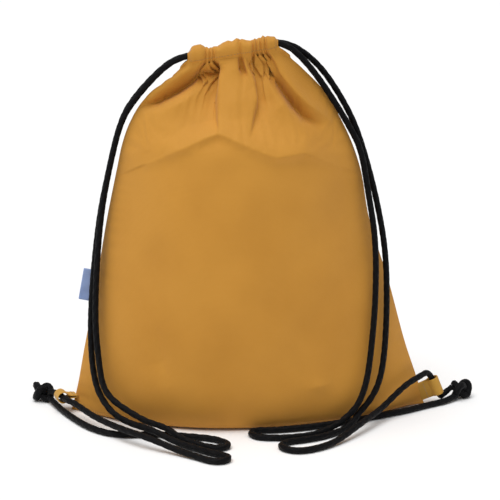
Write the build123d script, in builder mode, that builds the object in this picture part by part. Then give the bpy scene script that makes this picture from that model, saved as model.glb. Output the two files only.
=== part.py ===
from build123d import *
import math
import os

# Drawstring backpack, standing upright and lightly filled. Millimetres, +Z up.
# X runs along the side-to-side width, -Y is the front. The origin is the middle
# of the flat base, on the plane that the two side seams share.

# ---- driving dimensions ----
CLOTH = 1.6  # wall of the panels, cloth and lining taken together
SEAM_DEPTH = 9.0  # solid cloth at each side seam, measured from the edge
CORD_D = 6.0
CORD_R = CORD_D / 2
FLOOR_GAP = 0.2  # a lying cord's underside above the floor
LYING = CORD_R + FLOOR_GAP
OVER = 11.5  # height of a cord's centre where it crosses another cord

CASING_L = 79.0  # gathered length of each hem tunnel
CASING_H = 19.0
CASING_T = 12.0
CASING_R = 4.5  # rounding of each tunnel's corners
CASING_TILT = 4.0  # degrees, the mouth's right end stands higher
CASING_MID = (-9.0, 350.5)  # x and z of the middle of each tunnel
CASING_Y = 11.0  # each tunnel's middle from the seam plane
TUNNEL_H = 14.0
TUNNEL_W = 8.0
CORD_STEP = 3.5  # each of two stacked cords from the tunnel's middle
PANEL_GAP = 0.5  # between a tunnel and the panel below it
LEFT_EXIT_L = 12.0  # straight start of the left cord, from its tunnel's end
RIGHT_EXIT_L = 10.0

TAB_W = 18.0  # along the seam
TAB_EYE = 13.0  # middle of the tab's loop from the seam
EYE_IN = 5.2
EYE_OUT = 6.4
NECK_T = 2.8
TACK_COUNT = 5  # stitches in a tab's bar tack
TACK_STEP = 3.3
TACK_OUT = 2.5  # the bar tack's line from the seam
BODY_GAP = 0.5  # between pieces that swing and the seam they hang on

LABEL_W = 14.0
LABEL_H = 31.0
LABEL_T = 1.2
STITCH_L = 2.6
STITCH_W = 0.8
STITCH_T = 0.5
HEM_STITCHES = 17
HEM_ROW_H = 5.0  # the hem's stitching above its tunnel's lower edge

ALLOWANCE_W = 8.0
ALLOWANCE_T = 1.2
ALLOWANCE_GAP = 2.0  # from the solid side seam to its loose allowance
BOTTOM_IN = 1.0  # bottom allowance from the inside of the front wall
BOTTOM_TRIM = 12.0  # its ends from the solid side seams
BOTTOM_LIFT = 0.3  # its lower edge above the base
BOTTOM_BACK = 8.0  # it ends this far in front of the seam plane
TURN_REACH = 8.0
TURN_R = 7.0

KNOT_L = 24.0
KNOT_R = 9.0
KNOT_ROUND = 5.0
TAIL_L = 9.0
TAIL_R = 2.8

# Horizontal sections of the filled bag: height, left edge, right edge, depth.
SECTIONS = [
    (0.0, -167.0, 181.0, 69.0),
    (18.0, -162.0, 176.0, 75.0),
    (62.0, -153.0, 161.0, 77.0),
    (125.0, -140.0, 143.0, 76.0),
    (190.0, -128.0, 122.0, 71.0),
    (240.0, -117.0, 112.0, 62.0),
    (282.0, -105.0, 94.0, 48.0),
    (310.0, -88.0, 76.0, 34.0),
    (330.0, -65.0, 55.0, 22.0),
    (349.0, -50.0, 33.0, 17.0),
]
STATIONS = (-1.0, -0.92, -0.6, 0.0, 0.6, 0.92, 1.0)
LEAN = 0.14  # the left front corner is this share deeper than the middle
BACK_CUT = (600.0, 200.0, 400.0)  # box over the whole back half

along = Vector(math.cos(math.radians(CASING_TILT)), 0, math.sin(math.radians(CASING_TILT)))
up = Vector(-along.Z, 0, along.X)
os.makedirs("parts", exist_ok=True)


# ---- cord routes, from tunnel to knot ----
def casing_point(end, level, y):
    """Middle of a cord in a tunnel: end -1 left to 1 right, level -1 low or 1 high."""
    middle = Vector(CASING_MID[0], y, CASING_MID[1])
    return middle + along * (end * CASING_L / 2) + up * (level * CORD_STEP)


LEFT_FRONT_ROUTE = [
    casing_point(-1, -1, -CASING_Y) - along * BODY_GAP,
    casing_point(-1, -1, -CASING_Y) - along * LEFT_EXIT_L,
    (-76, -10, 329),
    (-98, -4.5, 305),
    (-113, -5, 283),
    (-124.5, -6, 239),
    (-133.5, -9, 194),
    (-138.5, -16, 138),
    (-140, -25, 93),
    (-137, -34, 60),
    (-133, -45, 37),
    (-123, -53, 26),
    (-108, -61, 18),
    (-92, -72, OVER + 0.5),
    (-73, -88, OVER),
    (-58, -102, 5),
    (-43, -111, LYING),
    (-28, -120, LYING),
    (-15, -121, LYING),
    (-10, -111, LYING),
    (-18, -101, LYING),
    (-33, -95, LYING),
    (-54, -88.5, LYING),
    (-82, -81, LYING),
    (-106, -83, LYING),
    (-127, -78, LYING),
    (-148, -58, LYING),
    (-170, -21, LYING),
    (-182, 4, LYING),
    (-190, 19, 5.8),
]
LEFT_BACK_ROUTE = [
    casing_point(-1, -1, CASING_Y) - along * BODY_GAP,
    casing_point(-1, -1, CASING_Y) - along * LEFT_EXIT_L,
    (-76, 10, 329),
    (-98, 7, 305),
    (-113, 6, 283),
    (-125, 4, 237),
    (-135, -2, 193),
    (-142, -10, 136),
    (-145, -18, 91),
    (-144, -27, 58),
    (-140, -36, 36),
    (-133, -46, 24),
    (-122, -59, 14.5),
    (-106, -76, OVER),
    (-85, -93.5, OVER),
    (-66, -105, 4.5),
    (-46, -120, LYING),
    (-30, -131, LYING),
    (-19, -136, LYING),
    (-9, -141, LYING),
    (-11, -152, LYING),
    (-25, -153, LYING),
    (-43, -142, LYING),
    (-62, -128, 4.5),
    (-78, -118, 8.5),
    (-95, -107, OVER),
    (-117, -86, OVER),
    (-139, -58, OVER),
    (-153, -38, 13.5),
    (-162, -26, 15.5),
    (-171.8, -16.8, 16.4),
    (-180.2, 9.8, 13.6),
    (-190, 20, 12.2),
]
RIGHT_FRONT_ROUTE = [
    casing_point(1, 1, -CASING_Y) + along * BODY_GAP,
    casing_point(1, 1, -CASING_Y) + along * RIGHT_EXIT_L,
    (54, -12, 344.5),
    (72, -10, 325),
    (96, -6, 294),
    (112, -6, 260),
    (119.5, -11, 215),
    (127, -17, 170),
    (126, -30, 114),
    (121, -40, 66),
    (116, -50, 40),
    (108, -59, 22),
    (98, -66, 13),
    (84, -76, 6),
    (64, -90, LYING),
    (42, -96.5, LYING),
    (24, -97, LYING),
    (9, -94, LYING),
    (3, -83, LYING),
    (10, -76, LYING),
    (25, -77, LYING),
    (43, -74.5, LYING),
    (66, -69, LYING),
    (92, -59, LYING),
    (116, -49, LYING),
    (138, -39, LYING),
    (161, -28, LYING),
    (181, -15, LYING),
    (198, -6, LYING),
    (208, 1, 4),
    (215, 7, 5.8),
]
RIGHT_BACK_ROUTE = [
    casing_point(1, 1, CASING_Y) + along * BODY_GAP,
    casing_point(1, 1, CASING_Y) + along * RIGHT_EXIT_L,
    (57, 11, 347.5),
    (74, 9, 336),
    (90, 4, 316),
    (105, 1, 284),
    (119, 1, 242),
    (130, -2, 202),
    (138, -10, 156),
    (138.5, -21, 104),
    (135, -33, 60),
    (129, -43, 36),
    (119, -51, 21),
    (107, -60, 12),
    (99, -73, 5.5),
    (86, -84, LYING),
    (68, -97, LYING),
    (50, -104, LYING),
    (37, -107, LYING),
    (28, -116, LYING),
    (34, -127, LYING),
    (47, -131, LYING),
    (65, -123, LYING),
    (82, -109, 4),
    (99, -91, 8.5),
    (114, -73, OVER),
    (129, -53, 13),
    (143, -40.5, 21),
    (158, -28, 29.5),
    (174, -14, 33),
    (186.5, 0, 31.2),
    (196.8, 0, 6.2),
    (203, 9.5, 7),
    (211.5, 11, 13),
]

# ---- places of the knots, tabs and label ----
LEFT_KNOT = (-198.5, 27.5, 9.3)
LEFT_KNOT_AXIS = Vector(0.75, -0.66, 0)
LEFT_TAILS = [((3, -1, 6), (0.2, 0.1, 0.97)), ((-7, 5, 0), (-0.8, 0.6, 0.1))]
RIGHT_KNOT = (220.5, 14, 9.3)
RIGHT_KNOT_AXIS = Vector(-0.8, -0.6, 0)
RIGHT_TAILS = [((6, 4, 4), (0.7, 0.3, 0.6)), ((6, 3, -3), (0.8, 0.55, -0.05))]

LEFT_AXIS = Vector(-0.3, 0.95, -0.1).normalized()
LEFT_OUT = Vector(-0.95, -0.3, 0).normalized()
LEFT_EYE = Vector(-176, -3.5, 15)
RIGHT_AXIS = Vector(-0.382, 0, 0.924).normalized()
RIGHT_OUT = Vector(0.924, 0, 0.382).normalized()
RIGHT_LOW = Vector(183.2, 0, 5)
LABEL_LOW = Vector(-143.4, 0, 108.5)
LABEL_HIGH = Vector(-137.3, 0, 139.5)


# ---- helpers ----
def bulge(s):
    """Depth of the bag at station s across a section, as a share of its middle."""
    return (1 - s * s) ** 0.9 * (1 - LEAN * s)


def section(number, cloth, seam, z):
    """Horizontal section of the bag at height z, shrunk by the cloth and the seam's depth."""
    _, left, right, depth = SECTIONS[number]
    middle = (left + right) / 2
    half = (right - left) / 2 - seam
    front = [(middle + half * s, -(depth - cloth) * bulge(s)) for s in STATIONS]
    back = [(x, -y) for x, y in front]
    with BuildSketch(Plane.XY.offset(z)) as outline:
        with BuildLine():
            Spline(front)
            Spline(back)
        make_face()
    return outline.sketch


def bag_form(cloth, seam, base):
    """Closed solid of the filled bag, from a base height up past the rim."""
    with BuildPart() as form:
        for number, row in enumerate(SECTIONS):
            add(section(number, cloth, seam, max(row[0], base)))
        loft()
    return form.part


def save(part, name):
    part.label = name
    export_step(part, f"parts/{name}.step")


def corner_radii(points):
    """One radius for each corner: 0.45 of the shorter run over the tangent of half the turn."""
    radii = []
    for before, here, after in zip(points, points[1:], points[2:]):
        run_in = Vector(*here) - Vector(*before)
        run_out = Vector(*after) - Vector(*here)
        half_turn = math.radians(run_in.get_angle(run_out)) / 2
        radii.append(0.45 * min(run_in.length, run_out.length) / math.tan(half_turn))
    return radii


def cord(name, points, radii=None):
    """Round cord along straight runs joined by tangent arcs."""
    radii = radii or corner_radii(points)
    with BuildPart() as tube:
        with BuildLine() as route:
            FilletPolyline(*points, radius=radii)
        start = Plane(origin=route.wire() @ 0, z_dir=route.wire() % 0)
        with BuildSketch(start):
            Circle(CORD_R)
        sweep(path=route.wire())
    save(tube.part, name)
    length = route.wire().length
    share = tube.part.volume / (math.pi * CORD_R**2 * length)
    print(f"{name}: length {length:.0f}, volume share {share:.3f}, radii", [round(r) for r in radii])


def tab(name, seam_low, axis, out):
    """Folded tab with a loop that runs along its axis, standing off a seam."""
    middle = Vector(*seam_low) + axis * (TAB_W / 2)
    with BuildPart() as piece:
        with BuildSketch(Plane(origin=middle, x_dir=out, z_dir=axis)):
            with Locations((TAB_EYE, 0)):
                Circle(EYE_OUT)
            with Locations(((BODY_GAP + TAB_EYE) / 2, 0)):
                Rectangle(TAB_EYE - BODY_GAP, NECK_T)
            with Locations((TAB_EYE, 0)):
                Circle(EYE_IN, mode=Mode.SUBTRACT)
        extrude(amount=TAB_W / 2, both=True)
    save(piece.part, name)


def tab_stitches(name, seam_low, axis, out):
    """Bar tack of five stitches across both faces of a tab's neck."""
    normal = axis.cross(out)
    with BuildPart() as tack:
        for side in (-1, 1):
            lift = normal * (side * (NECK_T + STITCH_T) / 2)
            mid = Vector(*seam_low) + axis * (TAB_W / 2) + out * TACK_OUT + lift
            with Locations(Plane(origin=mid, x_dir=axis, z_dir=normal)):
                with GridLocations(TACK_STEP, 1, TACK_COUNT, 1):
                    Box(STITCH_L, STITCH_W, STITCH_T)
    save(tack.part, name)


def knot(name, centre, axis):
    """Tight overhand knot in two cords, as one rounded lump along its axis."""
    with BuildPart() as lump:
        with BuildSketch(Plane(origin=centre, z_dir=axis)):
            Circle(KNOT_R)
        extrude(amount=KNOT_L / 2, both=True)
        fillet(lump.edges(), radius=KNOT_ROUND)
    save(lump.part, name)


def tails(name, centre, ends):
    """The two short ends of cord that stand out of a knot."""
    with BuildPart() as stubs:
        for start, direction in ends:
            origin = Vector(*centre) + Vector(*start)
            with BuildSketch(Plane(origin=origin, z_dir=direction)):
                Circle(TAIL_R)
            extrude(amount=TAIL_L)
    save(stubs.part, name)


# ---- cloth body: two panels with a flat base ----
outer = bag_form(0, 0, 0)
inner = bag_form(CLOTH, SEAM_DEPTH, CLOTH)
rim_mid = Vector(CASING_MID[0], 0, CASING_MID[1]) - up * (CASING_H / 2 + PANEL_GAP)
rim = Plane(origin=rim_mid, x_dir=along, z_dir=up)

with BuildPart() as front_panel:
    add(outer)
    add(inner, mode=Mode.SUBTRACT)
    split(bisect_by=rim, keep=Keep.BOTTOM)
    with Locations((0, 0, CLOTH)):
        Box(*BACK_CUT, align=(Align.CENTER, Align.MIN, Align.MIN), mode=Mode.SUBTRACT)
save(front_panel.part, "front_panel")

with BuildPart() as back_panel:
    add(outer)
    add(inner, mode=Mode.SUBTRACT)
    split(bisect_by=rim, keep=Keep.BOTTOM)
    split(bisect_by=Plane.XZ, keep=Keep.BOTTOM)
    split(bisect_by=Plane.XY.offset(CLOTH), keep=Keep.TOP)
save(back_panel.part, "back_panel")

# ---- hem tunnels round the mouth ----
for side, name in ((-1, "front_casing"), (1, "back_casing")):
    mid = Vector(CASING_MID[0], side * CASING_Y, CASING_MID[1])
    with BuildPart() as casing:
        with BuildSketch(Plane(origin=mid, x_dir=(0, 1, 0), z_dir=along)):
            RectangleRounded(CASING_T, CASING_H, CASING_R)
            SlotOverall(TUNNEL_H, TUNNEL_W, rotation=90, mode=Mode.SUBTRACT)
        extrude(amount=CASING_L / 2, both=True)
    save(casing.part, name)
    face_y = side * (CASING_Y + CASING_T / 2 + STITCH_T / 2)
    row = Plane(
        origin=Vector(CASING_MID[0], face_y, CASING_MID[1]) - up * (CASING_H / 2 - HEM_ROW_H),
        x_dir=along,
        z_dir=(0, side, 0),
    )
    with BuildPart(row) as stitches:
        with GridLocations(CASING_L / (HEM_STITCHES + 1), 1, HEM_STITCHES, 1):
            Box(STITCH_L, STITCH_T, STITCH_T)
    save(stitches.part, name.replace("casing", "hem_stitches"))

# ---- seam allowances, inside the bag ----
for side, name in ((1, "left_seam_allowance"), (2, "right_seam_allowance")):
    inward = 3 - 2 * side
    inset = inward * (SEAM_DEPTH + ALLOWANCE_GAP)
    edge = [(row[side] + inset, row[0]) for row in SECTIONS[1:-1]]
    strip = [(x + inward * ALLOWANCE_W, z) for x, z in reversed(edge)]
    with BuildPart() as allowance:
        with BuildSketch(Plane.XZ):
            with BuildLine():
                Polyline(*edge, *strip, close=True)
            make_face()
        extrude(amount=ALLOWANCE_T / 2, both=True)
    save(allowance.part, name)

bottom_z = CLOTH + BOTTOM_LIFT
trim = SEAM_DEPTH + BOTTOM_TRIM
with BuildPart() as bottom_seam:
    add(section(0, CLOTH + BOTTOM_IN, trim, bottom_z))
    extrude(amount=ALLOWANCE_W)
    add(section(0, CLOTH + BOTTOM_IN + ALLOWANCE_T, trim + ALLOWANCE_T, bottom_z))
    extrude(amount=ALLOWANCE_W, mode=Mode.SUBTRACT)
    split(bisect_by=Plane.XZ.offset(-BOTTOM_BACK), keep=Keep.BOTTOM)
save(bottom_seam.part, "bottom_seam_allowance")

# ---- drawcords: each runs through both tunnels and turns back at the far end ----
for end, level, name in ((1, -1, "left"), (-1, 1, "right")):
    reach = along * (end * TURN_REACH)
    front_far = casing_point(end, level, -CASING_Y)
    back_far = casing_point(end, level, CASING_Y)
    with BuildPart() as front_run:
        with BuildSketch(Plane(origin=front_far, z_dir=along)):
            Circle(CORD_R)
        extrude(amount=-end * CASING_L)
    save(front_run.part, f"{name}_cord_front_run")
    turn = [front_far + along * (end * BODY_GAP), front_far + reach, back_far + reach]
    cord(f"{name}_cord_back_run", [*turn, casing_point(-end, level, CASING_Y)], [TURN_R, TURN_R])

cord("left_cord_front_strand", LEFT_FRONT_ROUTE)
cord("left_cord_back_strand", LEFT_BACK_ROUTE)
cord("right_cord_front_strand", RIGHT_FRONT_ROUTE)
cord("right_cord_back_strand", RIGHT_BACK_ROUTE)

# ---- corner tabs, knots and label ----
left_low = LEFT_EYE - LEFT_OUT * TAB_EYE - LEFT_AXIS * (TAB_W / 2)
for name, low, axis, out in (
    ("left_tab", left_low, LEFT_AXIS, LEFT_OUT),
    ("right_tab", RIGHT_LOW, RIGHT_AXIS, RIGHT_OUT),
):
    tab(name, low, axis, out)
    tab_stitches(f"{name}_stitches", low, axis, out)

knot("left_knot", LEFT_KNOT, LEFT_KNOT_AXIS)
knot("right_knot", RIGHT_KNOT, RIGHT_KNOT_AXIS)
tails("left_knot_tails", LEFT_KNOT, LEFT_TAILS)
tails("right_knot_tails", RIGHT_KNOT, RIGHT_TAILS)

seam = (LABEL_HIGH - LABEL_LOW).normalized()
label_out = Vector(-seam.Z, 0, seam.X)
label_mid = (LABEL_LOW + LABEL_HIGH) * 0.5 + label_out * (LABEL_W / 2 + BODY_GAP)
with BuildPart() as side_label:
    with BuildSketch(Plane(origin=label_mid, x_dir=label_out, z_dir=(0, -1, 0))):
        Rectangle(LABEL_W, LABEL_H)
    extrude(amount=LABEL_T / 2, both=True)
save(side_label.part, "side_label")
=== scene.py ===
import math

import bpy
import numpy as np
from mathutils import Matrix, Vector


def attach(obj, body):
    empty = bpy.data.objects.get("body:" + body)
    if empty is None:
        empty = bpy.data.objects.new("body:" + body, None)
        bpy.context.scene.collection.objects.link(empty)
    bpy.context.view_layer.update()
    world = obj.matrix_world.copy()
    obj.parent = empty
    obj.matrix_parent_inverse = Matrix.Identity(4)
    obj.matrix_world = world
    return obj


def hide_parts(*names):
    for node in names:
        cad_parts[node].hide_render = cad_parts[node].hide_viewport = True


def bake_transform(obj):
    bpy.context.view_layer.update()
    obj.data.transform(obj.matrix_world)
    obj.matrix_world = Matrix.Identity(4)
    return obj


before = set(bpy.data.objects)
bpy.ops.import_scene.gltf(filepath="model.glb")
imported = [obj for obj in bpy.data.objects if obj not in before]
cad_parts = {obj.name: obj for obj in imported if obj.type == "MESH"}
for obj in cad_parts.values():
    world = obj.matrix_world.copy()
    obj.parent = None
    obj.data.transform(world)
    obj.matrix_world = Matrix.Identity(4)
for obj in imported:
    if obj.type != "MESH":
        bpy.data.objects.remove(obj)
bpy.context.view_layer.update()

# Drawstring backpack, standing on a pale floor. Metres, +Z up, -Y is the front.

MM = 0.001
CORD_D = 0.006
CORD_R = CORD_D / 2
CORE_R = 0.0029  # of a cord inside the hem
KNOT_R = 0.0037  # of the cord in a knot
KNOT_HALF = (0.0142, 0.0098, 0.0093)
BRAID_PITCH = 11 * MM
TAB_W = 0.018
LABEL_W = 0.031
PLANE_Y = 0.010  # the fold lines' plane, in front of the seams

# The filled bag's horizontal sections, as in the frame: height, left, right, depth.
SECTIONS = np.array([
    (0.000, -0.167, 0.181, 0.069),
    (0.018, -0.162, 0.176, 0.075),
    (0.062, -0.153, 0.161, 0.077),
    (0.125, -0.140, 0.143, 0.076),
    (0.190, -0.128, 0.122, 0.071),
    (0.240, -0.117, 0.112, 0.064),
    (0.262, -0.112, 0.104, 0.059),
    (0.282, -0.105, 0.094, 0.047),
    (0.310, -0.088, 0.076, 0.032),
    (0.330, -0.065, 0.055, 0.022),
    (0.349, -0.050, 0.033, 0.017),
])
LEAN = 0.14

# The gathered hem in plan, across the front from the left seam to the right one:
# place in the flat cloth from -1 to 1, x, y. The back has the same gathers turned round.
GATHERS = np.array([
    (-1.00, -50.0, -2.0), (-0.90, -47.0, -13.0), (-0.75, -42.0, -16.5), (-0.58, -37.0, -16.0),
    (-0.50, -34.5, -12.0), (-0.46, -33.0, -7.0), (-0.42, -31.5, -14.0), (-0.38, -29.5, -6.5),
    (-0.34, -28.0, -14.0), (-0.30, -26.5, -6.0), (-0.26, -24.5, -12.0), (-0.21, -22.0, -18.0),
    (-0.12, -15.0, -19.0), (-0.04, -6.5, -18.0), (0.00, -3.0, -12.0), (0.02, -2.0, -8.0),
    (0.05, -0.5, -14.0), (0.12, 4.0, -17.5), (0.20, 8.5, -15.5), (0.24, 10.0, -7.0),
    (0.28, 11.5, -14.5), (0.33, 13.0, -6.5), (0.38, 15.0, -15.5), (0.43, 17.0, -7.0),
    (0.48, 19.0, -15.0), (0.53, 21.0, -7.5), (0.60, 23.0, -15.5), (0.75, 27.0, -16.5),
    (0.90, 30.5, -12.0), (1.00, 33.0, -2.0),
]) * (1, MM, MM)
HEM_MIDDLE = -0.0085
HEM_Y = 0.011  # each hem's middle from the seam plane
BACK_DROP = 0.001  # the back hem hangs this much lower

ROUTES = {
    "left_front": [
        (-0.0487, -0.011, 0.3428), (-0.0601, -0.011, 0.3405), (-0.076, -0.01, 0.329),
        (-0.098, -0.0045, 0.305), (-0.113, -0.005, 0.283), (-0.1245, -0.006, 0.239),
        (-0.1335, -0.009, 0.194), (-0.1385, -0.016, 0.138), (-0.14, -0.025, 0.093),
        (-0.137, -0.034, 0.06), (-0.133, -0.045, 0.037), (-0.123, -0.053, 0.026),
        (-0.108, -0.061, 0.018), (-0.092, -0.072, 0.012), (-0.073, -0.088, 0.0115),
        (-0.058, -0.102, 0.005), (-0.043, -0.111, 0.0032), (-0.031, -0.1188, 0.0032),
        (-0.0205, -0.1195, 0.0032), (-0.0165, -0.111, 0.0032), (-0.0235, -0.102, 0.0032),
        (-0.033, -0.095, 0.0032), (-0.054, -0.0885, 0.0032), (-0.082, -0.081, 0.0032),
        (-0.106, -0.083, 0.0032), (-0.127, -0.078, 0.0032), (-0.148, -0.058, 0.0032),
        (-0.17, -0.021, 0.0032), (-0.182, 0.004, 0.0032), (-0.19, 0.019, 0.0058),
    ],
    "left_back": [
        (-0.0487, 0.011, 0.342), (-0.0601, 0.011, 0.34), (-0.076, 0.01, 0.329),
        (-0.098, 0.007, 0.3065), (-0.113, 0.006, 0.284), (-0.125, 0.004, 0.2375),
        (-0.135, -0.002, 0.193),
        (-0.142, -0.01, 0.136), (-0.145, -0.018, 0.091), (-0.144, -0.027, 0.058),
        (-0.14, -0.036, 0.036), (-0.133, -0.046, 0.024), (-0.122, -0.059, 0.0145),
        (-0.106, -0.076, 0.0115), (-0.085, -0.0935, 0.0115), (-0.066, -0.105, 0.0045),
        (-0.046, -0.12, 0.0032), (-0.034, -0.1305, 0.0032), (-0.0255, -0.135, 0.0032),
        (-0.0165, -0.1425, 0.0032), (-0.0225, -0.1515, 0.0032), (-0.0335, -0.1505, 0.0032),
        (-0.043, -0.142, 0.0032), (-0.062, -0.128, 0.0045), (-0.078, -0.118, 0.0085),
        (-0.095, -0.107, 0.0115), (-0.117, -0.086, 0.0115), (-0.139, -0.058, 0.0115),
        (-0.153, -0.038, 0.0135), (-0.162, -0.026, 0.0155), (-0.1712, -0.0187, 0.0166),
        (-0.1808, 0.0117, 0.0134), (-0.19, 0.02, 0.0122),
    ],
    "right_front": [
        (0.0307, -0.011, 0.3545), (0.0421, -0.011, 0.3528), (0.0562, -0.012, 0.3403),
        (0.0702, -0.01, 0.3238), (0.0868, -0.007, 0.3), (0.1005, -0.006, 0.278),
        (0.113, -0.006, 0.255), (0.1195, -0.011, 0.215),
        (0.127, -0.017, 0.17), (0.126, -0.03, 0.114), (0.121, -0.04, 0.066), (0.116, -0.05, 0.04),
        (0.108, -0.059, 0.022), (0.098, -0.066, 0.013), (0.084, -0.076, 0.006), (0.064, -0.09, 0.0032),
        (0.042, -0.0965, 0.0032), (0.024, -0.097, 0.0032), (0.009, -0.094, 0.0032),
        (0.003, -0.083, 0.0032), (0.01, -0.076, 0.0032), (0.025, -0.077, 0.0032),
        (0.043, -0.0745, 0.0032), (0.066, -0.069, 0.0032), (0.092, -0.059, 0.0032),
        (0.116, -0.049, 0.0032), (0.138, -0.039, 0.0032), (0.161, -0.028, 0.0032),
        (0.181, -0.015, 0.0032), (0.198, -0.006, 0.0032), (0.208, 0.001, 0.004), (0.215, 0.007, 0.0058),
    ],
    "right_back": [
        (0.0307, 0.011, 0.3545), (0.0442, 0.011, 0.3535), (0.0607, 0.0105, 0.3442),
        (0.0768, 0.0085, 0.3293), (0.093, 0.0045, 0.3057), (0.1075, 0.001, 0.2785),
        (0.1195, 0.001, 0.243), (0.1302, -0.002, 0.202),
        (0.138, -0.01, 0.156), (0.1385, -0.021, 0.104), (0.135, -0.033, 0.06), (0.129, -0.043, 0.036),
        (0.119, -0.051, 0.021), (0.107, -0.06, 0.012), (0.099, -0.073, 0.0055), (0.086, -0.084, 0.0032),
        (0.068, -0.097, 0.0032), (0.05, -0.104, 0.0032), (0.037, -0.107, 0.0032),
        (0.028, -0.116, 0.0032), (0.034, -0.127, 0.0032), (0.047, -0.131, 0.0032),
        (0.065, -0.123, 0.0032), (0.082, -0.109, 0.004), (0.099, -0.091, 0.0085),
        (0.114, -0.073, 0.0115), (0.129, -0.053, 0.013), (0.143, -0.0405, 0.021),
        (0.158, -0.028, 0.0295), (0.174, -0.014, 0.033), (0.1855, 0, 0.0338), (0.1971, 0, 0.0054),
        (0.203, 0.0095, 0.007), (0.2115, 0.011, 0.013),
    ],
}


# ---- camera, lights and floor ----
def add_camera():
    data = bpy.data.cameras.new("camera")
    data.lens = 88.06
    data.sensor_width = 36
    camera = bpy.data.objects.new("camera", data)
    bpy.context.collection.objects.link(camera)
    camera.location = (-0.0522, -1.1484, 0.400)
    camera.rotation_euler = (math.radians(78.1), 0, math.radians(-3))
    bpy.context.scene.camera = camera


def add_sun():
    """Large soft light from straight above, a little to the left and the front."""
    data = bpy.data.lights.new("overhead", "SUN")
    data.energy = 2.6
    data.angle = math.radians(55)
    lamp = bpy.data.objects.new("overhead", data)
    bpy.context.collection.objects.link(lamp)
    lamp.rotation_euler = (math.radians(12), math.radians(-10), 0)


def add_floor():
    material = new_material("floor_paper", (0.93, 0.93, 0.93), 0.9)[0]
    mesh = bpy.data.meshes.new("floor")
    reach = 120.0
    mesh.from_pydata([(-reach, -reach, 0), (reach, -reach, 0), (reach, reach, 0), (-reach, reach, 0)],
                     [], [(0, 1, 2, 3)])
    mesh.materials.append(material)
    floor = bpy.data.objects.new("floor", mesh)
    bpy.context.collection.objects.link(floor)


def add_world():
    bpy.context.scene.view_settings.view_transform = "Standard"
    world = bpy.data.worlds.new("studio")
    bpy.context.scene.world = world
    world.use_nodes = True
    background = world.node_tree.nodes["Background"]
    background.inputs["Color"].default_value = (1, 1, 1, 1)
    background.inputs["Strength"].default_value = 0.36


# ---- materials ----
def new_material(name, colour, roughness):
    material = bpy.data.materials.new(name)
    material.use_nodes = True
    nodes = material.node_tree.nodes
    shader = nodes["Principled BSDF"]
    shader.inputs["Base Color"].default_value = (*colour, 1)
    shader.inputs["Roughness"].default_value = roughness
    return material, nodes, shader


def link(material, source, output, target, socket):
    material.node_tree.links.new(source.outputs[output], target.inputs[socket])


def cloth_material(name, light, dark, sheen=0.12):
    """Plain woven polyester: warp and weft relief with slight mottling."""
    material, nodes, shader = new_material(name, light, 0.72)
    shader.inputs["Sheen Weight"].default_value = sheen
    shader.inputs["Sheen Roughness"].default_value = 0.45
    shader.inputs["Specular IOR Level"].default_value = 0.3
    flat = nodes.new("ShaderNodeUVMap")
    flat.uv_map = "UVMap"
    warp = nodes.new("ShaderNodeTexWave")
    weft = nodes.new("ShaderNodeTexWave")
    for wave, axis in ((warp, "X"), (weft, "Y")):
        wave.bands_direction = axis
        wave.wave_profile = "SIN"
        wave.inputs["Scale"].default_value = 290
        wave.inputs["Distortion"].default_value = 0.6
        wave.inputs["Detail"].default_value = 1
        wave.inputs["Detail Scale"].default_value = 2
        link(material, flat, "UV", wave, "Vector")
    weave = nodes.new("ShaderNodeMath")
    weave.operation = "MULTIPLY"
    link(material, warp, "Fac", weave, 0)
    link(material, weft, "Fac", weave, 1)
    grain = nodes.new("ShaderNodeTexNoise")
    grain.inputs["Scale"].default_value = 420
    grain.inputs["Detail"].default_value = 3
    mottle = nodes.new("ShaderNodeTexNoise")
    mottle.inputs["Scale"].default_value = 14
    mottle.inputs["Detail"].default_value = 4
    place = nodes.new("ShaderNodeTexCoord")
    link(material, place, "Object", mottle, "Vector")
    link(material, place, "Object", grain, "Vector")
    tone = nodes.new("ShaderNodeMix")
    tone.data_type = "RGBA"
    tone.inputs["A"].default_value = (*dark, 1)
    tone.inputs["B"].default_value = (*light, 1)
    amount = nodes.new("ShaderNodeMapRange")
    amount.inputs["From Min"].default_value = 0.3
    amount.inputs["From Max"].default_value = 0.62
    link(material, mottle, "Fac", amount, "Value")
    link(material, amount, "Result", tone, "Factor")
    yarn = nodes.new("ShaderNodeMix")
    yarn.data_type = "RGBA"
    yarn.blend_type = "MULTIPLY"
    yarn.inputs["B"].default_value = (0.86, 0.84, 0.80, 1)
    thin = nodes.new("ShaderNodeMapRange")
    thin.inputs["From Min"].default_value = 0.45
    thin.inputs["From Max"].default_value = 0.0
    thin.inputs["To Max"].default_value = 0.55
    link(material, weave, "Value", thin, "Value")
    link(material, thin, "Result", yarn, "Factor")
    link(material, tone, "Result", yarn, "A")
    link(material, yarn, "Result", shader, "Base Color")
    rough = nodes.new("ShaderNodeMapRange")
    rough.inputs["To Min"].default_value = 0.62
    rough.inputs["To Max"].default_value = 0.82
    link(material, grain, "Fac", rough, "Value")
    link(material, rough, "Result", shader, "Roughness")
    relief = nodes.new("ShaderNodeMath")
    relief.operation = "MULTIPLY_ADD"
    relief.inputs[1].default_value = 0.6
    link(material, grain, "Fac", relief, 0)
    link(material, weave, "Value", relief, 2)
    bump = nodes.new("ShaderNodeBump")
    bump.inputs["Strength"].default_value = 0.35
    bump.inputs["Distance"].default_value = 0.00025
    link(material, relief, "Value", bump, "Height")
    link(material, bump, "Normal", shader, "Normal")
    return material


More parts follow.
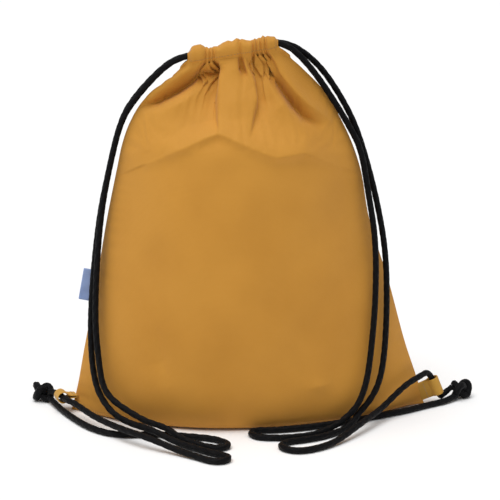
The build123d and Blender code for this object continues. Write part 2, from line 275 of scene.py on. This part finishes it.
def cord_material():
    """Black braided polyester: fine yarns across each strand, a slightly uneven black."""
    material, nodes, shader = new_material("black_braid", (0.003, 0.003, 0.004), 0.5)
    shader.inputs["Sheen Weight"].default_value = 0.03
    shader.inputs["Sheen Roughness"].default_value = 0.5
    shader.inputs["Specular IOR Level"].default_value = 0.1
    flat = nodes.new("ShaderNodeTexCoord")
    yarns = nodes.new("ShaderNodeTexWave")
    yarns.bands_direction = "DIAGONAL"
    yarns.inputs["Scale"].default_value = 700
    yarns.inputs["Distortion"].default_value = 1.5
    yarns.inputs["Detail"].default_value = 1
    fuzz = nodes.new("ShaderNodeTexNoise")
    fuzz.inputs["Scale"].default_value = 900
    fuzz.inputs["Detail"].default_value = 2
    link(material, flat, "Object", yarns, "Vector")
    link(material, flat, "Object", fuzz, "Vector")
    colour = nodes.new("ShaderNodeMix")
    colour.data_type = "RGBA"
    colour.inputs["A"].default_value = (0.0008, 0.0008, 0.0012, 1)
    colour.inputs["B"].default_value = (0.0032, 0.0032, 0.0042, 1)
    link(material, fuzz, "Fac", colour, "Factor")
    link(material, colour, "Result", shader, "Base Color")
    rough = nodes.new("ShaderNodeMapRange")
    rough.inputs["To Min"].default_value = 0.42
    rough.inputs["To Max"].default_value = 0.68
    link(material, fuzz, "Fac", rough, "Value")
    link(material, rough, "Result", shader, "Roughness")
    bump = nodes.new("ShaderNodeBump")
    bump.inputs["Strength"].default_value = 0.5
    bump.inputs["Distance"].default_value = 0.0002
    link(material, yarns, "Fac", bump, "Height")
    link(material, bump, "Normal", shader, "Normal")
    return material


def thread_material():
    material, nodes, shader = new_material("sewing_thread", (0.42, 0.24, 0.075), 0.5)
    place = nodes.new("ShaderNodeTexCoord")
    twist = nodes.new("ShaderNodeTexNoise")
    twist.inputs["Scale"].default_value = 1500
    link(material, place, "Object", twist, "Vector")
    bump = nodes.new("ShaderNodeBump")
    bump.inputs["Strength"].default_value = 0.4
    bump.inputs["Distance"].default_value = 0.0001
    link(material, twist, "Fac", bump, "Height")
    link(material, bump, "Normal", shader, "Normal")
    rough = nodes.new("ShaderNodeMapRange")
    rough.inputs["To Min"].default_value = 0.4
    rough.inputs["To Max"].default_value = 0.6
    link(material, twist, "Fac", rough, "Value")
    link(material, rough, "Result", shader, "Roughness")
    return material


# ---- mesh helpers ----
def mesh_piece(name, verts, faces, materials, uv=None):
    mesh = bpy.data.meshes.new(name)
    mesh.from_pydata([tuple(v) for v in verts], [], faces)
    for material in materials:
        mesh.materials.append(material)
    if uv is not None:
        layer = mesh.uv_layers.new(name="UVMap")
        corners = np.empty(len(mesh.loops), np.int32)
        mesh.loops.foreach_get("vertex_index", corners)
        layer.data.foreach_set("uv", np.asarray(uv, np.float32)[corners].ravel())
    mesh.polygons.foreach_set("use_smooth", [True] * len(mesh.polygons))
    mesh.update()
    piece = bpy.data.objects.new(name, mesh)
    bpy.context.collection.objects.link(piece)
    return piece


def apply_modifiers(piece):
    graph = bpy.context.evaluated_depsgraph_get()
    graph.update()
    mesh = bpy.data.meshes.new_from_object(piece.evaluated_get(graph))
    piece.modifiers.clear()
    old = piece.data
    piece.data = mesh
    mesh.name = piece.name
    bpy.data.meshes.remove(old)


def catmull(knots, values, at):
    """Smooth curve through values at rising knots."""
    knots = np.asarray(knots, float)
    values = np.asarray(values, float)
    slope = np.gradient(values, knots, axis=0)
    k = np.clip(np.searchsorted(knots, at) - 1, 0, len(knots) - 2)
    width = knots[k + 1] - knots[k]
    t = (at - knots[k]) / width
    if values.ndim > 1:
        width, t = width[..., None], t[..., None]
    return ((2 * t**3 - 3 * t**2 + 1) * values[k] + (t**3 - 2 * t**2 + t) * width * slope[k]
            + (-2 * t**3 + 3 * t**2) * values[k + 1] + (t**3 - t**2) * width * slope[k + 1])


# ---- cords ----
def route_line(name):
    """Points read from the smooth curve of a cord's route."""
    curve = bpy.data.curves.new(name + "_route", "CURVE")
    curve.dimensions = "3D"
    spline = curve.splines.new("NURBS")
    points = ROUTES[name]
    spline.points.add(len(points) - 1)
    for point, place in zip(spline.points, points):
        point.co = (*place, 1)
    spline.order_u = 3
    spline.use_endpoint_u = True
    spline.resolution_u = 20
    holder = bpy.data.objects.new(name + "_route", curve)
    bpy.context.collection.objects.link(holder)
    mesh = bpy.data.meshes.new_from_object(holder)
    line = np.array([v.co for v in mesh.vertices])
    bpy.data.objects.remove(holder)
    bpy.data.curves.remove(curve)
    bpy.data.meshes.remove(mesh)
    return line


def spaced(line, step):
    """The same line with its points an even step apart."""
    lengths = np.r_[0, np.cumsum(np.linalg.norm(np.diff(line, axis=0), axis=1))]
    at = np.linspace(0, lengths[-1], max(4, int(lengths[-1] / step)))
    return np.stack([np.interp(at, lengths, line[:, k]) for k in range(3)], 1), at


def tube(name, line, radius, material, step=0.9 * MM, sides=24, closed=False):
    """Braided round cord along a line: eight crossing strands stand out of its surface."""
    line, at = spaced(line, step)
    if closed:
        line, at = line[:-1], at[:-1]
        ahead, behind = np.roll(line, -1, 0), np.roll(line, 1, 0)
    else:
        ahead, behind = np.r_[line[1:], line[-1:]], np.r_[line[:1], line[:-1]]
    way = ahead - behind
    way /= np.linalg.norm(way, axis=1)[:, None]
    side = np.zeros_like(way)
    first = np.cross(way[0], (0.3, 0.2, 0.93))
    for i in range(len(way)):
        first = first - way[i] * (first @ way[i])
        first = first / np.linalg.norm(first)
        side[i] = first
    over = np.cross(way, side)
    around = np.arange(sides) * 2 * math.pi / sides
    turn = around[None, :]
    run = at[:, None] * 2 * math.pi / BRAID_PITCH
    lay = np.maximum(np.cos(4 * turn + run), np.cos(4 * turn - run))
    size = radius * (0.90 + 0.10 * lay)
    verts = (line[:, None] + size[..., None] * (np.cos(turn)[..., None] * side[:, None]
                                                + np.sin(turn)[..., None] * over[:, None]))
    count = len(line)
    faces = []
    for i in range(count if closed else count - 1):
        for j in range(sides):
            a, b = i * sides, (i + 1) % count * sides
            faces.append((a + j, a + (j + 1) % sides, b + (j + 1) % sides, b + j))
    if not closed:
        faces.append(tuple(range(sides))[::-1])
        faces.append(tuple((count - 1) * sides + j for j in range(sides)))
    flat = np.stack(np.broadcast_arrays(turn * radius, at[:, None]), -1).reshape(-1, 2)
    return mesh_piece(name, verts.reshape(-1, 3), faces, [material], uv=flat)


def hidden_run(name, place, side, material):
    """A cord's run inside a hem, from its own end over to the far one, sinking as it goes."""
    own = -1 if place == "left" else 1
    share = np.linspace(0, 1, 60)
    ease = share * share * (3 - 2 * share)
    far = 0.0235 if place == "left" else -0.0405
    start = -0.0485 if place == "left" else 0.0305
    x = start + (far - start) * share
    drop = 0 if side > 0 else BACK_DROP
    z = hem_line(x) - drop - 0.0048 * ease
    y = -side * (HEM_Y + own * 0.001 * np.sin(math.pi * share))
    line = np.stack([x, y, z], 1)
    if side < 0:
        bend = np.linspace(0, math.pi, 24)[1:]
        turn = np.stack([x[-1] - own * 0.0035 * np.sin(bend), HEM_Y * np.cos(bend),
                         z[-1] + 0.0015 * (1 - np.cos(bend))], 1)
        line = np.concatenate([line, turn])
    return tube(name, line, CORE_R, material)


def knot_mesh(name, centre, axis, half, radius, material):
    """Closed loop of cord in the shape of an overhand knot, long along its axis."""
    t = np.linspace(0, 2 * math.pi, 240)
    loop = np.stack([np.sin(t) + 2 * np.sin(2 * t), np.cos(t) - 2 * np.cos(2 * t), -np.sin(3 * t)], 1)
    loop = loop / (3, 3, 1) * (np.array(half) - radius)
    axis = Vector(axis).normalized()
    flat = Vector((0, 0, 1)).cross(axis).normalized()
    up = axis.cross(flat)
    line = np.array(centre) + loop @ np.array([axis, flat, up])
    return tube(name, line, radius, material, step=0.8 * MM, sides=20, closed=True)


# ---- bag cloth ----
def body_point(s, zeta):
    """Outer surface of the filled bag: x and distance forward, for places across and up."""
    row = catmull(SECTIONS[:, 0], SECTIONS[:, 1:], zeta)
    left, right, depth = row[..., 0], row[..., 1], row[..., 2]
    x = (left + right) / 2 + (right - left) / 2 * s
    return x, depth * np.maximum(1 - s * s, 0) ** 0.9 * (1 - LEAN * s)


def gathered(s, side):
    """The gathered hem in plan at place s: x and distance forward."""
    at = s if side > 0 else -s
    plan = catmull(GATHERS[:, 0], GATHERS[:, 1:], at)
    x = plan[..., 0] if side > 0 else 2 * HEM_MIDDLE - plan[..., 0]
    return x, -plan[..., 1]


def signed_distance(points, x, z):
    """Distance to a fold line in front view, how far along it, and the side: plus is on its right."""
    best = np.full(x.shape, 1e9)
    along = np.zeros(x.shape)
    side = np.ones(x.shape)
    points = np.array(points) * MM
    for k in range(len(points) - 1):
        a, b = points[k], points[k + 1]
        run = b - a
        t = np.clip(((x - a[0]) * run[0] + (z - a[1]) * run[1]) / (run @ run), 0, 1)
        dx, dz = x - a[0] - t * run[0], z - a[1] - t * run[1]
        away = np.hypot(dx, dz)
        near = away < best
        best = np.where(near, away, best)
        along = np.where(near, (k + t) / (len(points) - 1), along)
        side = np.where(near, np.sign(run[1] * dx - run[0] * dz), side)
    return best, along, side


def fold(points, depth, right, left, x, z):
    """Sunk line: depth is a list of mm from one end to the other, and each side has its own width."""
    away, along, side = signed_distance(points, x, z)
    width = np.where(side > 0, right, left) * MM
    deep = np.interp(along, np.linspace(0, 1, len(depth)), depth) * MM
    return deep * np.exp(-((away / width) ** 1.4))


# Folds as they look from the point that EYE_X, EYE_Z and EYE_FAR give, on the hem's front: line
# in mm, depths along it in mm (minus
# stands out), width on the line's right-hand side and width on its left-hand side.
FRONT_FOLDS = [
    ([(-23, 331), (-43, 323), (-61, 310.5), (-80, 300.5), (-97, 297)], (9, 15, 16, 13, 7), 5, 4),
    ([(-38, 338), (-50, 332), (-67, 319), (-85, 308)], (-3, -7, -7, -5), 7, 8),
    ([(-40, 312), (-56, 300), (-72, 292)], (-3, -4, -1), 9, 8),
    ([(-21.5, 350), (-24, 331.5), (-25, 308), (-25, 284), (-22, 270)], (5, 12, 12, 9, 0), 20, 1.8),
    ([(-3, 357), (6, 337.5), (14, 321), (17, 302), (13, 284), (8, 266)], (2, 7, 9, 9, 6, 0), 1.8, 13),
    ([(-3, 354), (-2, 342), (-0.5, 331), (3, 325)], (2, 6, 7, 1), 1.6, 2.4),
    ([(3, 326), (10, 314), (16, 306)], (3, 2.5, 0), 6, 5),
    ([(14, 349), (25.5, 331.5), (40, 310.5), (50.5, 297), (60, 286.5), (77, 277)],
     (4, 11, 16, 16, 11, 0), 5, 4),
    ([(24, 340), (35, 326), (49, 308.5), (60, 298), (84, 281)], (-2, -6, -7, -6, -1), 7, 7),
    ([(26, 318), (38, 298), (50, 285)], (-3, -4, -1), 9, 8),
    ([(26, 349), (42, 344), (54, 335)], (3, 3, 0), 4, 6),
    ([(-12, 338), (-8, 300), (-6, 284)], (-3, -3, 0), 14, 14),
    ([(-88, 243.5), (-55, 257), (-22.5, 272), (9, 257), (31, 248), (58, 252.5), (90.5, 239.5)],
     (-2, -5.5, -6.5, -5, -5, -5, -1), 5, 16),
    ([(-100, 240), (-74, 252), (-45, 288)], (0, 3, 0), 12, 16),
    ([(58, 20), (74, 23), (90, 27)], (0, -2, 0), 8, 8),
    ([(-84, 90), (-78, 50), (-70, 25)], (0, 2, 0), 14, 10),
]
BACK_FOLDS = [
    ([(20, 336), (44, 321), (70, 302), (92, 292)], (11, 11, 7, 2), 4.5, 12),
    ([(-4, 350), (-9, 322), (-12, 298), (-8, 276)], (4, 8, 6, 0), 22, 2),
    ([(-20, 347), (-40, 324), (-62, 300), (-80, 286)], (6, 10, 8, 0), 10, 4.5),
    ([(8, 350), (12, 330), (20, 306)], (6, 7, 0), 3, 10),
    ([(-92, 246), (-50, 258), (-10, 270), (40, 258), (92, 248)], (-1, -4, -4, -4, -1), 15, 10),
]

EYE_X = -0.052  # where the fold lines are drawn from: a little left, above the hem, far in front
EYE_Z = 0.400
EYE_FAR = 1.148
COLUMNS = 170
WALL_ROWS = 140
FLOOR_ROWS = 14
CLOTH_T = 0.0009
TAPE_T = 0.0011
LABEL_T = 0.0006
STITCHES = 64
CUFF_ROWS = 9
CUFF_LOW = -0.9  # angles round the hem's front that the bag cloth covers
CUFF_HIGH = 0.8
CUFF_LIFT = 0.0007
CUT_WIDER = 1.06
CUT_TALLER = 1.01
GOAL = 0.12  # how firmly the upper wall keeps to its shape while it settles
SETTLE_FRAMES = 18


def settle(piece, held):
    """Cloth simulation of a wall cut a little too wide. It adds small creases, not the folds."""
    group = piece.vertex_groups.new(name="held")
    for number, weight in enumerate(held):
        group.add([number], float(weight), "REPLACE")
    weld = piece.modifiers.new("weld", "WELD")
    weld.merge_threshold = 0.00005
    apply_modifiers(piece)
    piece.shape_key_add(name="Basis")
    cut = piece.shape_key_add(name="cut")
    places = np.empty(len(cut.data) * 3)
    cut.data.foreach_get("co", places)
    places = places.reshape(-1, 3) * (CUT_WIDER, CUT_WIDER, CUT_TALLER)
    cut.data.foreach_set("co", places.ravel())
    cut.value = 0
    cloth = piece.modifiers.new("cloth", "CLOTH")
    settings = cloth.settings
    settings.quality = 5
    settings.mass = 0.12
    settings.tension_stiffness = 25
    settings.compression_stiffness = 25
    settings.shear_stiffness = 12
    settings.bending_stiffness = 0.35
    settings.tension_damping = 12
    settings.compression_damping = 12
    settings.bending_damping = 0.8
    settings.air_damping = 2
    settings.vertex_group_mass = "held"
    settings.pin_stiffness = 1
    settings.rest_shape_key = cut
    settings.effector_weights.gravity = 0.15
    cloth.collision_settings.use_collision = False
    scene = bpy.context.scene
    scene.frame_start, scene.frame_end = 1, SETTLE_FRAMES
    cloth.point_cache.frame_start, cloth.point_cache.frame_end = 1, SETTLE_FRAMES
    for step in range(1, SETTLE_FRAMES + 1):
        scene.frame_set(step)
    graph = bpy.context.evaluated_depsgraph_get()
    settled = bpy.data.meshes.new_from_object(piece.evaluated_get(graph))
    piece.modifiers.clear()
    piece.shape_key_clear()
    piece.data = settled
    scene.frame_set(1)


def press_folds(piece, side, folds):
    """Moves the cloth in and out along its own normals, along each fold line."""
    mesh = piece.data
    count = len(mesh.vertices)
    place, normal = np.empty(count * 3), np.empty(count * 3)
    mesh.vertices.foreach_get("co", place)
    mesh.vertex_normals.foreach_get("vector", normal)
    place, normal = place.reshape(-1, 3), normal.reshape(-1, 3)
    normal *= np.where(normal[:, 1:2] * side > 0, -1, 1)
    x, out, z = place[:, 0], -side * place[:, 1], place[:, 2]
    near = (EYE_FAR - PLANE_Y) / (EYE_FAR - out)
    seen_x = EYE_X + (x - EYE_X) * near
    seen = EYE_Z + (z - EYE_Z) * near
    sink = np.zeros(count)
    for line, depth, right, left in folds:
        sink += fold(line, depth, right, left, seen_x, seen)
    free = np.clip(out / 0.012, 0, 1) * np.clip((hem_line(x) - 0.0075 - z) / 0.011, 0, 1)
    push = normal * (0.6, 1, 0.12)
    push /= np.linalg.norm(push, axis=1)[:, None]
    place = place - push * (sink * free)[:, None]
    place[:, 1] = -side * np.maximum(-side * place[:, 1], np.minimum(out, 0.003))
    mesh.vertices.foreach_set("co", place.ravel())
    mesh.update()


def cloth_panel(name, side, folds, materials):
    """Front (side 1) or back (side -1) of the bag: half the base, the wall and its gathered top."""
    s = np.sin(np.linspace(-1, 1, COLUMNS + 1) * 1.45) / math.sin(1.45)
    t = np.linspace(0, 1, WALL_ROWS + 1)[:, None]
    t = t * (1.25 - 0.25 * t)
    s = s[None, :]
    zeta = t * SECTIONS[-1, 0] + 0 * s
    top_x, top_out = body_point(s, SECTIONS[-1, 0] + 0 * s)
    hem_x, hem_out, hem_z = hem_point(s, CUFF_LOW, side)
    hem_out = hem_out + CUFF_LIFT
    x, out = body_point(s, zeta)
    rise = np.clip((zeta - 0.23) / (SECTIONS[-1, 0] - 0.23), 0, 1)
    x = x + rise ** 1.9 * (hem_x - top_x)
    out = out + rise ** 3 * (hem_out - top_out)
    z = zeta + rise ** 2 * (hem_z - SECTIONS[-1, 0])
    inset = np.clip((1 - s * s) * 3.0, 0, 1)
    near_hem = (hem_z - z) / MM
    loose = 1 - crest_at(s, side)
    pinch = 3.2 * loose * np.exp(-((near_hem - 4) / 4.5) ** 2)
    pinch += 2.2 * loose * np.exp(-((near_hem - 11) / 11) ** 2)
    # soft unevenness of the filled cloth, and the seam's small puckers
    ripple = (np.sin(x * 43 + z * 11 + 0.7) * np.sin(z * 23 + x * 9 + 1.9) * 1.3
              + np.sin(x * 97 - z * 31 + 2.1) * np.sin(z * 51 + 0.4) * 0.5)
    ripple = ripple * np.clip(zeta / 0.02, 0, 1)
    out = out - (pinch + ripple) * MM * inset * np.clip(near_hem / 3, 0, 1)
    edge = (1 - np.abs(s)) / 0.035
    pucker = np.exp(-edge) * edge * np.sin(z * 2 * math.pi / 0.011 + 3 * np.sin(z * 60))
    out = out + pucker * 1.0 * MM
    out = np.maximum(out, 0.0004)
    # the base turns under with a small radius
    turn = 0.007
    low = np.clip(1 - z / turn, 0, 1)
    out = out - np.minimum((1 - np.sqrt(np.maximum(1 - low ** 2, 0))) * turn, out * 0.6) * 0.8
    y = -side * out
    wall = np.stack([x, y, np.maximum(z, 0.0004)], -1)
    foot = wall[0]
    floor = []
    for k in range(FLOOR_ROWS):
        share = k / FLOOR_ROWS
        row = foot * (1, share, 1)
        row[:, 2] = 0.0004
        floor.append(row)
    angle = np.linspace(CUFF_LOW, CUFF_HIGH, CUFF_ROWS + 1)[1:, None]
    cuff_x, cuff_out, cuff_z = hem_point(s, angle, side)
    cuff = np.stack([cuff_x, -side * (cuff_out + CUFF_LIFT * np.cos(angle)),
                     cuff_z + CUFF_LIFT * np.sin(angle)], -1)
    grid = np.concatenate([np.array(floor), wall, cuff])
    rows, columns = grid.shape[:2]
    flat_u = 0.175 * s[0][None, :] + np.zeros((rows, 1))
    flat_v = np.r_[np.linspace(-0.069, 0, FLOOR_ROWS, endpoint=False), 0.362 * t[:, 0],
                   0.362 + 0.007 * (angle[:, 0] - CUFF_LOW)][:, None] + 0 * s
    faces = []
    for i in range(rows - 1):
        for j in range(columns - 1):
            a, b = i * columns + j, (i + 1) * columns + j
            quad = (a, a + 1, b + 1, b)
            faces.append(quad if side > 0 else quad[::-1])
    piece = mesh_piece(name, grid.reshape(-1, 3), faces, materials,
                       uv=np.stack([flat_u, flat_v], -1).reshape(-1, 2))
    hold = 1 - np.clip((zeta - 0.19) / 0.07, 0, 1) * (1 - GOAL)
    hold = np.maximum(hold, 1 - np.clip((1 - np.abs(s)) / 0.03, 0, 1))
    hold = np.maximum(hold, 1 - np.clip((near_hem - 3) / 6, 0, 1))
    fixed = np.ones((1, columns))
    hold = np.concatenate([fixed.repeat(FLOOR_ROWS, 0), hold, fixed.repeat(CUFF_ROWS, 0)])
    settle(piece, hold.ravel())
    smooth = piece.modifiers.new("fine", "SUBSURF")
    smooth.levels = 1
    apply_modifiers(piece)
    press_folds(piece, side, folds)
    shell = piece.modifiers.new("shell", "SOLIDIFY")
    shell.thickness = CLOTH_T
    shell.offset = -1
    apply_modifiers(piece)
    return piece


def hem_line(x):
    """Height of the hem's middle line, which runs from one cord's exit to the other's."""
    return 0.349 + 0.155 * (x + 0.009)


# Height of the hem's top over its middle line, in mm, for x in mm, as the gathers bunch it.
HEM_CREST = np.array([(-54, 5), (-50, 7), (-44, 9), (-38, 9), (-34, 7), (-30, 4.6), (-26, 5.2),
                      (-22, 4.6), (-18, 7), (-13, 8.4), (-9, 7), (-5, 9.4), (-1, 8.6), (4, 6), (8, 5),
                      (11, 6.8), (15, 6.4), (19, 8.2), (23, 7), (26, 6), (30, 5.5), (34, 4)], float)


def crest_at(s, side):
    """How far out the gather stands at place s, from 0 in a pinch to 1 on a crest."""
    return np.clip((gathered(s, side)[1] - 0.005) / 0.0125, 0, 1)


def hem_point(s, phi, side):
    """Outer surface of a hem at place s across and angle phi round it: 0 is outward, up is plus."""
    sway = 0.010 * np.sin(phi * 2 + 3 * s) + 0.006 * np.sin(phi * 3 - 7 * s)
    at = np.clip(s + sway * (1 - s ** 6) * (1 + np.sin(phi)) / 2, -1, 1)
    x = gathered(s + 0 * phi, side)[0]
    crest = crest_at(at, side)
    top = np.interp(x / MM, HEM_CREST[:, 0], HEM_CREST[:, 1]) * MM
    if side < 0:
        top = np.minimum(top, 0.0058)
    ends = np.clip((1 - np.abs(s)) / 0.14, 0, 1)
    ends = ends * ends * (3 - 2 * ends)
    thick = 0.0040 + 0.0044 * crest * (0.6 + 0.4 * ends)
    high = np.where(np.sin(phi) > 0, top * (0.80 + 0.20 * crest), 0.0075 + 0.0012 * crest)
    high = high * (0.58 + 0.42 * ends)
    out = HEM_Y + thick * np.cos(phi)
    drop = 0 if side > 0 else BACK_DROP
    return x, out, hem_line(x) - drop + high * np.sin(phi)


def hem_tube(name, side, materials):
    """Gathered tunnel of the hem round the two cords, open at both ends."""
    count, around = 520, 60
    s = np.linspace(-1, 1, count)[:, None]
    phi = np.linspace(0, 2 * math.pi, around, endpoint=False)[None, :]
    x, out, z = hem_point(s, phi, side)
    grid = np.stack([x, -side * out, z], -1)
    faces = []
    for i in range(count - 1):
        for j in range(around):
            a, b = i * around, (i + 1) * around
            quad = (a + j, a + (j + 1) % around, b + (j + 1) % around, b + j)
            faces.append(quad if side < 0 else quad[::-1])
    flat = np.stack(np.broadcast_arrays(0.175 * s, phi * 0.006 + 0.37), -1).reshape(-1, 2)
    piece = mesh_piece(name, grid.reshape(-1, 3), faces, materials, uv=flat)
    for face in piece.data.polygons:
        ring = face.index // around
        face.material_index = 1 if ring < 26 or ring > count - 12 else 0
    shell = piece.modifiers.new("shell", "SOLIDIFY")
    shell.thickness = CLOTH_T
    shell.offset = -1
    apply_modifiers(piece)
    return piece


# ---- tabs, label ----
def folded_strip(name, centre, axis, out, line, wide, thick, materials):
    """Strip of tape of one width, folded along a line in the plane across its axis."""
    axis, out = Vector(axis).normalized(), Vector(out).normalized()
    across = axis.cross(out).normalized()
    line = np.array(line)
    run = np.r_[0, np.cumsum(np.linalg.norm(np.diff(line, axis=0), axis=1))]
    steps = 14
    verts, faces, flat = [], [], []
    for i, p in enumerate(line):
        for j in range(steps + 1):
            h = (j / steps - 0.5) * wide
            curl = 0.0002 * math.sin(0.9 * j + 0.35 * i)
            verts.append(Vector(centre) + out * p[0] + across * (p[1] + curl * (p[0] > 0)) + axis * h)
            flat.append((h, run[i]))
    for i in range(len(line) - 1):
        for j in range(steps):
            a, b = i * (steps + 1) + j, (i + 1) * (steps + 1) + j
            faces.append((a, a + 1, b + 1, b))
    piece = mesh_piece(name, verts, faces, materials, uv=np.array(flat))
    shell = piece.modifiers.new("shell", "SOLIDIFY")
    shell.thickness = thick
    shell.offset = 0
    smooth = piece.modifiers.new("round", "SUBSURF")
    smooth.levels = 1
    apply_modifiers(piece)
    return piece


def tab_line(reach):
    """Two plies from inside the seam, then an open loop round the cord."""
    ring, gap, meet = 0.0053, 0.0007, math.pi - 0.42
    ply = [(-reach + (reach - ring) * k / 5, gap + 0.00015 * k) for k in range(5)]
    loop = [(ring * math.cos(a), ring * math.sin(a)) for a in np.linspace(meet, -meet, 30)]
    return ply + loop + [(p, -q) for p, q in ply[::-1]]


def label_line():
    """Two plies from the seam, joined by a soft fold at the outer end."""
    start, wide, gap = 0.0012, 0.0132, 0.00045
    ply = [(start + (wide - start) * k / 8, gap + 0.0002 * math.sin(k * 0.4)) for k in range(9)]
    turn = [(wide + 0.0007 * math.cos(a), gap * math.sin(a)) for a in np.linspace(1.2, -1.2, 7)]
    return ply + turn + [(p, -q) for p, q in ply[::-1]]


def stitch_row(name, ends, material):
    """Short lock stitches, each a slightly domed run of thread between two points."""
    verts, faces = [], []
    rings, sides, thick = 7, 8, 0.00032
    for start, stop in ends:
        start, stop = Vector(start), Vector(stop)
        way = (stop - start).normalized()
        flat = way.cross(Vector((0, 0.3, 1))).normalized()
        up = way.cross(flat)
        first = len(verts)
        for i in range(rings):
            share = i / (rings - 1)
            size = thick * (0.35 + 0.65 * math.sin(math.pi * share) ** 0.5)
            middle = start.lerp(stop, share)
            for j in range(sides):
                turn = 2 * math.pi * j / sides
                verts.append(middle + flat * size * math.cos(turn) + up * size * math.sin(turn))
        for i in range(rings - 1):
            for j in range(sides):
                a, b = first + i * sides, first + (i + 1) * sides
                faces.append((a + j, a + (j + 1) % sides, b + (j + 1) % sides, b + j))
        faces.append(tuple(first + j for j in range(sides))[::-1])
        faces.append(tuple(first + (rings - 1) * sides + j for j in range(sides)))
    return mesh_piece(name, verts, faces, [material])


def hem_stitches(side):
    """Ends of the stitches along the hem's lower edge, over its gathers."""
    ends = []
    for k in range(STITCHES):
        place = -0.94 + 1.88 * (k + np.array([0.2, 0.8])) / STITCHES
        x, out, z = hem_point(place, -0.62, side)
        ends.append([(x[i], -side * (out[i] + CUFF_LIFT + 0.0002), z[i]) for i in (0, 1)])
    return ends


def add_cords(braid):
    """The two knots, and the four strands that end in them."""
    for name, centre, axis in (("left", (-0.1985, 0.0275, 0.0093), (0.75, -0.66, 0)),
                               ("right", (0.2205, 0.014, 0.0093), (-0.8, -0.6, 0))):
        knot = knot_mesh(name + "_knot_mesh", centre, axis, KNOT_HALF, KNOT_R, braid)
        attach(knot, "root")
        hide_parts(name + "_knot", name + "_knot_tails")
    for name in ROUTES:
        line = route_line(name)
        strand = tube(name + "_cord", line, CORD_R, braid)
        side, place = name.split("_")
        if place == "front":
            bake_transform(strand)
        else:
            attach(strand, "root")
        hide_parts(side + "_cord_" + place + "_strand")


def add_runs(braid):
    """The cords' runs inside the hems."""
    for place in ("left", "right"):
        for side, body, end in ((1, "front_hem", "front"), (-1, "root", "back")):
            run = hidden_run(f"{place}_cord_{end}_core", place, side, braid)
            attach(run, body)
            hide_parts(f"{place}_cord_{end}_run")


def add_panels(cloth):
    front = cloth_panel("front_cloth", 1, FRONT_FOLDS, [cloth])
    back = cloth_panel("back_cloth", -1, BACK_FOLDS, [cloth])
    for piece, node in ((front, "front_panel"), (back, "back_panel")):
        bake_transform(piece)
        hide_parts(node)


def add_hems(cloth, pale, thread):
    for side, body, node in ((1, "front_hem", "front_casing"), (-1, "root", "back_casing")):
        hem = hem_tube(node.replace("casing", "hem_cloth"), side, [cloth, pale])
        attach(hem, body)
        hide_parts(node)
        row = stitch_row(node.replace("casing", "hem_thread"), hem_stitches(side), thread)
        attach(row, body)
        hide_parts(node.replace("casing", "hem_stitches"))


def add_tabs(tan):
    for body, centre, axis, out, reach in (
            ("left_tab", (-0.176, -0.0035, 0.015), (-0.3, 0.95, -0.1), (-0.95, -0.3, 0), 0.0145),
            ("right_tab", (0.1918, 0, 0.0183), (-0.382, 0, 0.924), (0.924, 0, 0.382), 0.0185)):
        line = tab_line(reach)
        loop = folded_strip(body + "_cloth", centre, axis, out, line, TAB_W, TAPE_T, [tan])
        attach(loop, body)
        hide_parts(body)


def add_label(blue):
    label = folded_strip("label_tape_loop", (-0.14035, 0, 0.124), (0.193, 0, 0.981),
                         (-0.981, 0, 0.193), label_line(), LABEL_W, LABEL_T, [blue])
    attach(label, "side_label")
    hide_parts("side_label")


def dress_nodes(cloth, braid, thread, blue):
    """Materials of the CAD nodes that still show."""
    for node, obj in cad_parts.items():
        material = cloth
        if "cord" in node or "knot" in node:
            material = braid
        elif "stitches" in node:
            material = thread
        elif "label" in node:
            material = blue
        for slot in obj.material_slots:
            slot.material = material


def main():
    add_camera()
    add_world()
    add_floor()
    add_sun()
    braid = cord_material()
    cloth = cloth_material("yellow_cloth", (0.62, 0.285, 0.036), (0.56, 0.25, 0.028))
    pale = cloth_material("turned_edge", (0.62, 0.46, 0.42), (0.5, 0.36, 0.3))
    tan = cloth_material("tab_tape", (0.58, 0.31, 0.045), (0.50, 0.26, 0.035))
    blue = cloth_material("label_tape", (0.33, 0.43, 0.70), (0.24, 0.34, 0.62), 0.1)
    thread = thread_material()
    add_cords(braid)
    add_runs(braid)
    add_panels(cloth)
    add_hems(cloth, pale, thread)
    add_tabs(tan)
    add_label(blue)
    dress_nodes(cloth, braid, thread, blue)


main()
